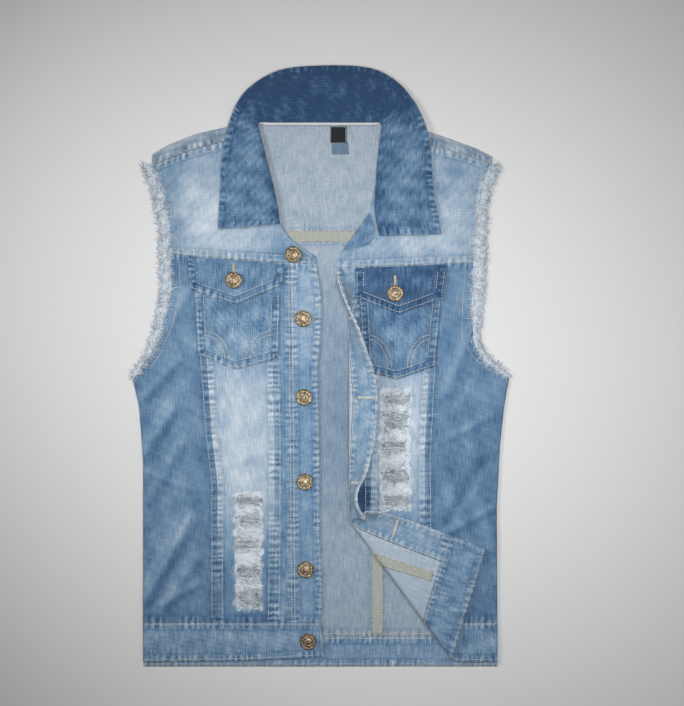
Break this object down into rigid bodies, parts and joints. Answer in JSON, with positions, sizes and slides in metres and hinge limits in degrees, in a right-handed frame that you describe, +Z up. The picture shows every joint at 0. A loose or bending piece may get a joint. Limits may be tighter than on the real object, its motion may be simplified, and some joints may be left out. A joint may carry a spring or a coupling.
{
  "type": "denim vest",
  "caption": "Sleeveless washed denim jacket laid flat and open, with a wide turned-down collar, raw armholes, flap chest pockets, torn front panels and one front turned back.",
  "frame": {"origin": "on the surface it lies on, under the middle of the laid-out garment's outline", "axes": "+Z up off the surface, +Y from the hem to the collar, +X towards the wearer's left"},
  "size_m": [0.4541, 0.72, 0.0424],
  "materials": {
    "denim_mid": "mid blue washed cotton denim, matt twill",
    "denim_pale": "denim washed almost white",
    "denim_inside": "pale weft side of the denim",
    "thread": "frayed white cotton thread",
    "button": "antique pale brass, satin",
    "label": "bare black woven label",
    "care_tab": "bare grey-blue woven tab"
  },
  "bodies": {
    "root": {"back_panel_centre": "denim_inside", "back_side_right": "denim_inside", "back_side_left": "denim_inside", "waistband_back": "denim_inside", "back_yoke": "denim_inside", "front_yoke_right": "denim_pale", "front_yoke_left": "denim_pale", "front_side_right": "denim_mid", "front_side_left": "denim_mid", "front_panel_right": "denim_pale", "front_panel_left": "denim_pale", "front_inset_right": "denim_mid", "front_inset_left": "denim_mid", "placket_right": "denim_mid", "placket_left": "denim_mid", "waistband_right": "denim_mid", "waistband_left": "denim_mid", "neck_facing_left": "denim_mid", "collar": "denim_mid", "pocket_right": "denim_mid", "pocket_left": "denim_mid", "pocket_flap_right": "denim_mid", "pocket_flap_left": "denim_mid", "button_pocket_right": "button", "button_pocket_left": "button", "button_front_1": "button", "button_front_2": "button", "button_front_3": "button", "button_front_4": "button", "button_front_5": "button", "button_front_6": "button", "rip_weft_right": "thread", "rip_weft_left": "thread", "armhole_fray_right": "thread", "armhole_fray_left": "thread", "neck_label": "label", "care_label": "care_tab"}
  },
  "joints": []
}
